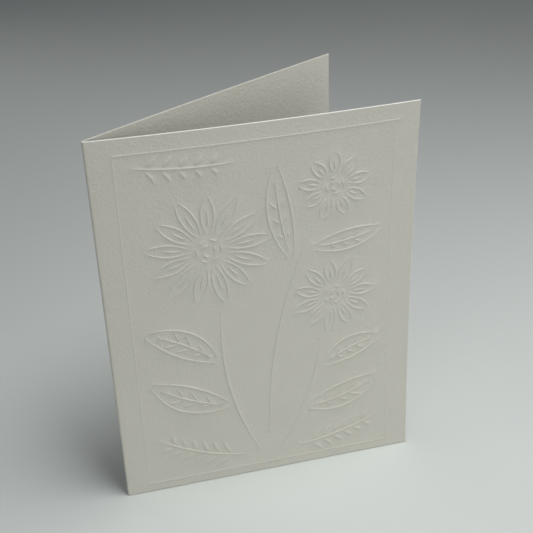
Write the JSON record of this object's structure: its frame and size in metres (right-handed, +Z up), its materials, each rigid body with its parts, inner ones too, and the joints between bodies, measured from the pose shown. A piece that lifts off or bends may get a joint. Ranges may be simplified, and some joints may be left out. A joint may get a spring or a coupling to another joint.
{
  "type": "greeting card",
  "caption": "Upright folded note card in heavy off-white felt-finish stock, its cover blind-embossed with a ruled frame and a bunch of daisies and fern.",
  "frame": {"origin": "on the surface the card stands on, under the middle of its footprint", "axes": "+Z up along the fold, the cover runs along X with the fold at -X and faces -Y, the back panel opens towards +Y"},
  "size_m": [0.108, 0.0558, 0.1397],
  "materials": {
    "felt_card": "matte uncoated felt finish"
  },
  "bodies": {
    "root": {"folded_card": "felt_card"}
  },
  "joints": []
}
